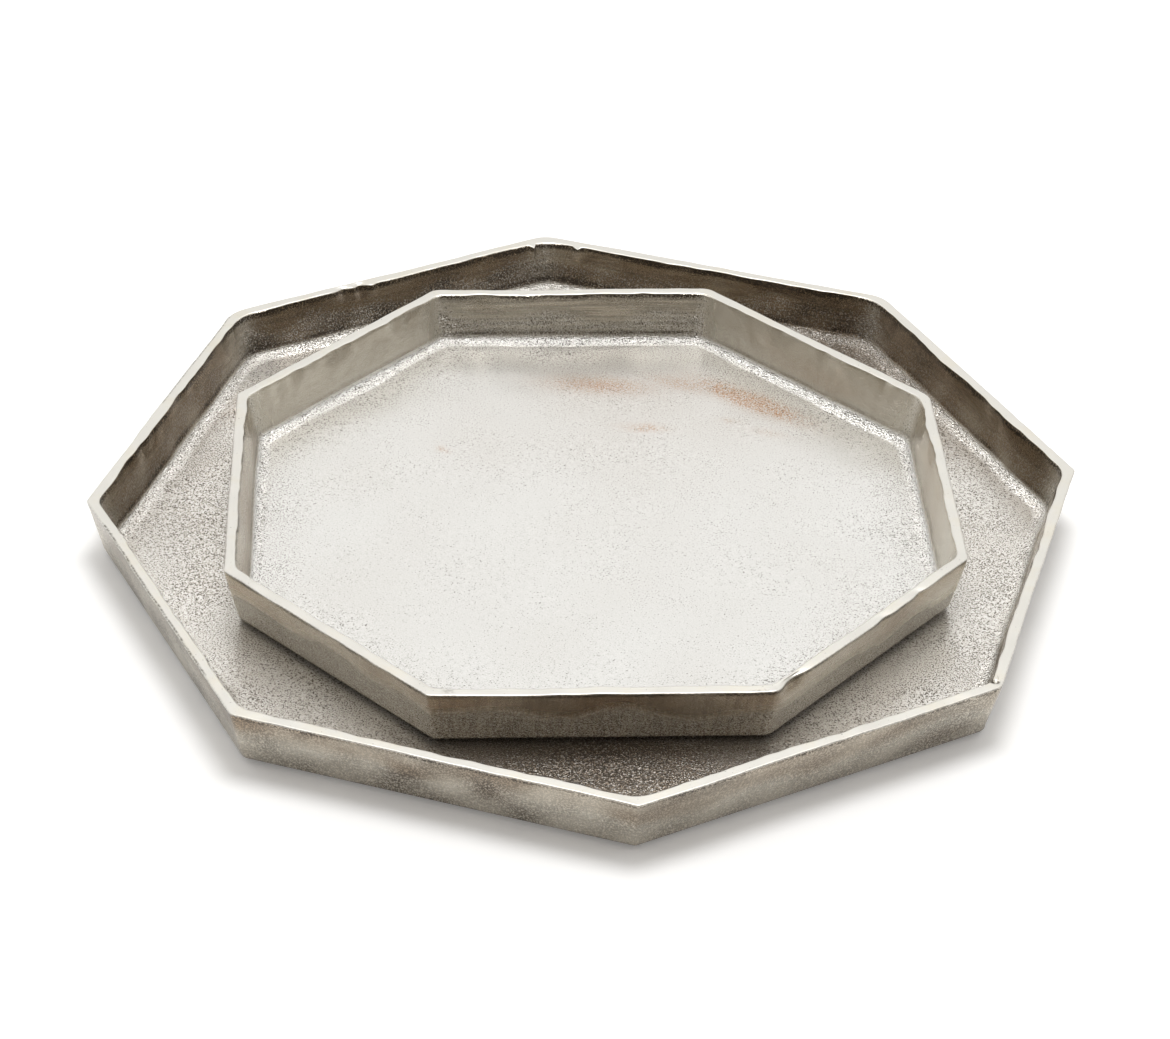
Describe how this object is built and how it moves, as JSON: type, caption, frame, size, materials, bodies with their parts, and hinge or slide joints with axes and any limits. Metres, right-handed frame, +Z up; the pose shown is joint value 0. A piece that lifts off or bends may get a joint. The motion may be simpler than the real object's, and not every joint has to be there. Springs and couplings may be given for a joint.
{
  "type": "nesting tray set",
  "caption": "Nesting octagonal serving trays, sand-cast with ground rims and leaning walls; the small tray stands in the large one on felt pads and lifts out.",
  "frame": {"origin": "the point of the table under the middle of the large tray's outline, at the underside of its pads", "axes": "+Z up; +X towards the middle of the large tray's side 1, +Y towards its side 3; sides are numbered anticlockwise seen from above"},
  "size_m": [0.4248, 0.4178, 0.038],
  "materials": {
    "raw_nickel_casting": "rough sand-cast metal with a raw nickel colour: grainy floors, satin walls, bright ground rims",
    "felt": "dense stick-on felt"
  },
  "bodies": {
    "large_tray_body": {"large_tray": "raw_nickel_casting", "large_tray_felt_pad_1": "felt", "large_tray_felt_pad_2": "felt", "large_tray_felt_pad_3": "felt", "large_tray_felt_pad_4": "felt"},
    "small_tray_body": {"small_tray": "raw_nickel_casting", "small_tray_felt_pad_1": "felt", "small_tray_felt_pad_2": "felt", "small_tray_felt_pad_3": "felt", "small_tray_felt_pad_4": "felt"}
  },
  "joints": [
    {"name": "small_tray_lift", "type": "slide", "parent": "large_tray_body", "child": "small_tray_body", "axis": [0, 0, 1], "range_m": [0, 0.08]}
  ]
}
